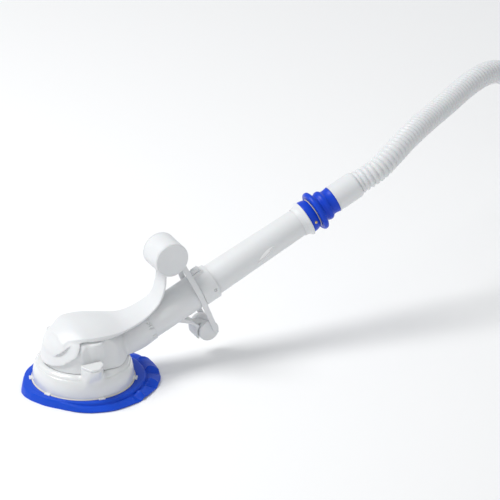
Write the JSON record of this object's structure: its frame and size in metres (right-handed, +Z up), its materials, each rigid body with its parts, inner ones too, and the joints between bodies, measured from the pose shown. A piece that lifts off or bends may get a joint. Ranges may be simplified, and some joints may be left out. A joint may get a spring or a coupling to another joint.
{
  "type": "suction pool cleaner",
  "caption": "Suction-side pool cleaner: round bowl on a flexible skirt, helmet cover with a float, angled tube with roller and swivel, and a corrugated hose.",
  "frame": {"origin": "on the floor, under the middle of the cleaner from the skirt's front edge to the end of the head's hose cuff, with the free hose left out", "axes": "+X from the nose towards the hose, along the length; +Z up; +Y to the cleaner's right side as it drives nose first"},
  "size_m": [1.6047, 0.4754, 0.3073],
  "materials": {
    "white_plastic": "moulded, satin",
    "cream_plastic": "moulded, uncoated",
    "hose_plastic": "spiral-wound, satin",
    "skirt_rubber": "smooth soft rubber",
    "swivel_blue": "soft moulded, slight gloss",
    "dark_rubber": "matt",
    "stainless_steel": "brushed",
    "screw_brass": "turned",
    "float_foam": "closed-cell foam"
  },
  "bodies": {
    "head": {"foot_ring": "cream_plastic", "foot_bowl": "white_plastic", "throat_seat": "dark_rubber", "body_housing": "white_plastic", "top_cover": "white_plastic", "flow_duct": "cream_plastic", "flapper_pin": "stainless_steel", "flapper_bush_left": "cream_plastic", "flapper_bush_right": "cream_plastic", "pivot_cap_left": "white_plastic", "pivot_cap_right": "white_plastic", "collar_screw_left": "stainless_steel", "collar_screw_right": "stainless_steel", "float_cap_left": "white_plastic", "float_cap_right": "white_plastic", "float_shell": "white_plastic", "float_core": "float_foam", "body_tube": "white_plastic", "flow_tube": "cream_plastic", "tube_collar": "white_plastic", "latch_spring": "stainless_steel", "bumper_strap": "white_plastic", "roller_arm": "white_plastic", "extension_tube": "white_plastic", "tube_end_ring": "white_plastic", "swivel_base": "swivel_blue", "base_screw": "screw_brass", "swivel_washer": "cream_plastic", "hose_tube": "hose_plastic", "hose_coil": "hose_plastic", "hose_end_cuff": "hose_plastic"},
    "skirt": {"skirt_disc": "skirt_rubber"},
    "flapper": {"flapper_valve": "dark_rubber"},
    "rollers": {"roller_wheel_left": "white_plastic", "roller_wheel_right": "white_plastic", "roller_axle": "stainless_steel"},
    "latch": {"latch_button": "white_plastic"},
    "swivel": {"swivel_coupling": "swivel_blue", "hose_cuff": "hose_plastic"}
  },
  "joints": [
    {"name": "skirt_spin", "type": "hinge", "parent": "head", "child": "skirt", "pos_m": [-0.2016, 0, 0.01], "axis": [0, 0, 1], "continuous": true},
    {"name": "flapper_rock", "type": "hinge", "parent": "head", "child": "flapper", "pos_m": [-0.2166, 0, 0.057], "axis": [0, 1, 0], "range_deg": [-20, 20]},
    {"name": "roller_spin", "type": "hinge", "parent": "head", "child": "rollers", "pos_m": [0.0144, 0, 0.0505], "axis": [0, 1, 0], "continuous": true},
    {"name": "latch_press", "type": "slide", "parent": "head", "child": "latch", "axis": [0.3987, 0, -0.9171], "range_m": [0, 0.0025], "stiffness_N_per_m": 400, "springref_m": -0.001},
    {"name": "hose_swivel", "type": "hinge", "parent": "head", "child": "swivel", "pos_m": [-0.2016, 0, 0.031], "axis": [0.9171, 0, 0.3987], "continuous": true}
  ]
}
